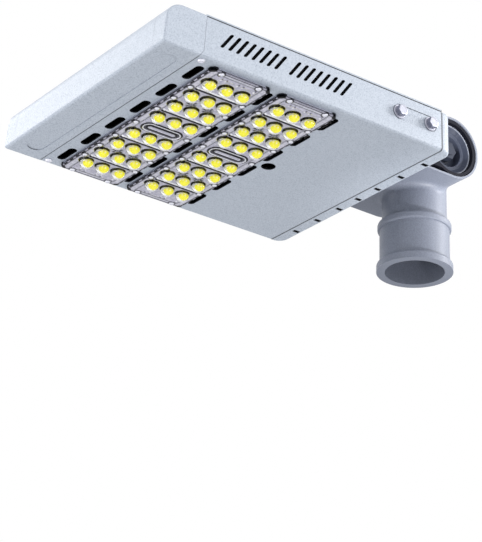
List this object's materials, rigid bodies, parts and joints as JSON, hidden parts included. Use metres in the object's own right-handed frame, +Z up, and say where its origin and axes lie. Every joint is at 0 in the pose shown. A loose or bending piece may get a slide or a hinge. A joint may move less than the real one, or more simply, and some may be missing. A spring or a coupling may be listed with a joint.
{
  "type": "led street light head",
  "caption": "Flat box street light head with two banks of lens-covered chips underneath, vented sides and a tilting fitter for the top of a round pole.",
  "frame": {"origin": "centre of the pole socket's mouth, on the pole's axis", "axes": "+Z up along the pole, +X towards the nose of the head, +Y across the head to the side that the picture shows"},
  "size_m": [0.4549, 0.2852, 0.1554],
  "materials": {
    "panel_paint": "fine matt powder coat, pale blue-grey",
    "cap_paint": "fine matt powder coat on a casting",
    "fitter_paint": "fine textured powder coat, mid grey",
    "fork_paint": "dark grey powder coat",
    "zinc_steel": "zinc-plated fasteners and brackets",
    "stainless": "stainless screws and bolts",
    "sink_metal": "die-cast, shot-blasted",
    "lens_plastic": "clear moulded acrylic",
    "seal_rubber": "silicone seal",
    "board_mask": "white solder mask",
    "chip_phosphor": "yellow phosphor",
    "driver_case": "brushed case",
    "surge_case": "moulded case",
    "terminal_plastic": "white nylon"
  },
  "bodies": {
    "fitter": {"pole_fitter": "fitter_paint", "set_screws": "stainless", "clamp_cups": "fitter_paint", "pivot_bolt": "stainless", "pivot_nut": "stainless", "pivot_washers": "stainless"},
    "head": {"tilt_fork": "fork_paint", "foot_bolts": "zinc_steel", "foot_nuts": "zinc_steel", "mounting_frame": "zinc_steel", "frame_bolts": "stainless", "frame_washers": "stainless", "frame_nuts": "zinc_steel", "housing_tray": "panel_paint", "nose_cap": "cap_paint", "rear_cap": "cap_paint", "top_cover": "panel_paint", "cover_screws": "stainless", "nose_screws": "stainless", "cable_grommet": "seal_rubber", "gear_plate": "zinc_steel", "terminal_block": "terminal_plastic", "driver": "driver_case", "surge_protector": "surge_case", "heatsink_front": "sink_metal", "gasket_front": "seal_rubber", "led_board_front": "board_mask", "led_chips_front": "chip_phosphor", "lens_plate_front": "lens_plastic", "plate_screws_front": "stainless", "heatsink_rear": "sink_metal", "gasket_rear": "seal_rubber", "led_board_rear": "board_mask", "led_chips_rear": "chip_phosphor", "lens_plate_rear": "lens_plastic", "plate_screws_rear": "stainless"}
  },
  "joints": [
    {"name": "tilt", "type": "hinge", "parent": "fitter", "child": "head", "pos_m": [0, 0, 0.121], "axis": [0, 1, 0], "range_deg": [-15, 5]}
  ]
}
